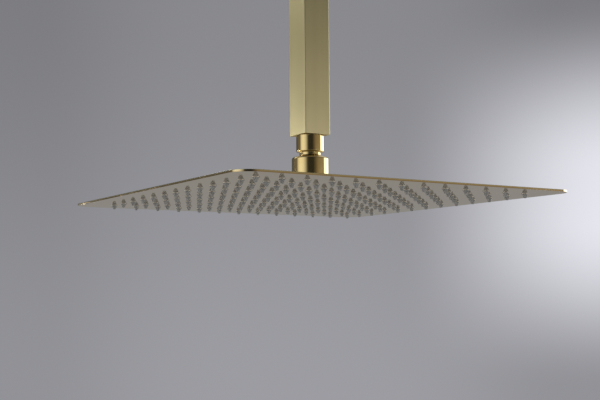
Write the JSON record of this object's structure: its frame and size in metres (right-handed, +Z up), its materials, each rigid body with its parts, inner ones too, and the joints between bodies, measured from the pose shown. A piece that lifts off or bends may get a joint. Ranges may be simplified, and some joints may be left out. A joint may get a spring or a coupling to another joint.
{
  "type": "ceiling shower head and drop arm",
  "caption": "Thin square rainfall shower head on a ball swivel under a square ceiling drop arm, with a sliding ceiling cover and a grid of soft nozzles.",
  "frame": {"origin": "centre of the inlet thread on the ceiling plane, which is the fixing plate's upper face", "axes": "+Z up, into the ceiling; X and Y along the sides of the square arm and head"},
  "size_m": [0.305, 0.305, 0.3731],
  "materials": {
    "satin_gold": "satin, gold coated",
    "polished_gold": "polished, gold coated",
    "gold_sheet": "satin, gold coated stainless sheet",
    "mirror_sheet": "mirror polished, gold coated stainless sheet",
    "bare_brass": "as machined",
    "plated_steel": "zinc plated",
    "steel": "plain stainless",
    "silicone": "translucent, satin",
    "black_rubber": "matt",
    "white_acetal": "satin",
    "green_plastic": "satin"
  },
  "bodies": {
    "arm": {"ceiling_plate": "plated_steel", "inlet_nipple": "bare_brass", "inlet_o_ring": "black_rubber", "arm_tube": "satin_gold", "arm_top_plug": "bare_brass", "arm_bottom_plug": "bare_brass", "outlet_nipple": "bare_brass", "outlet_o_ring": "black_rubber", "ball_stem": "polished_gold", "inlet_washer": "black_rubber", "filter_screen": "steel", "flow_restrictor": "green_plastic", "restrictor_o_ring": "black_rubber"},
    "cover": {"ceiling_cover": "satin_gold", "cover_grip_ring": "black_rubber"},
    "seat": {"seat_ring": "white_acetal"},
    "friction": {"friction_ring": "white_acetal"},
    "head": {"ball_seal": "black_rubber", "swivel_collar": "polished_gold", "swivel_base": "polished_gold", "top_shell": "gold_sheet", "face_plate": "mirror_sheet", "nozzle_mat": "silicone", "stay_posts": "steel"}
  },
  "joints": [
    {"name": "cover_slide", "type": "slide", "parent": "arm", "child": "cover", "axis": [0, 0, -1], "range_m": [0, 0.25]},
    {"name": "head_tilt_x", "type": "hinge", "parent": "arm", "child": "seat", "pos_m": [0, 0, -0.3258], "axis": [1, 0, 0], "range_deg": [-10, 10]},
    {"name": "head_tilt_y", "type": "hinge", "parent": "seat", "child": "friction", "pos_m": [0, 0, -0.3258], "axis": [0, 1, 0], "range_deg": [-10, 10]},
    {"name": "head_spin", "type": "hinge", "parent": "friction", "child": "head", "pos_m": [0, 0, -0.3258], "axis": [0, 0, 1], "continuous": true}
  ]
}
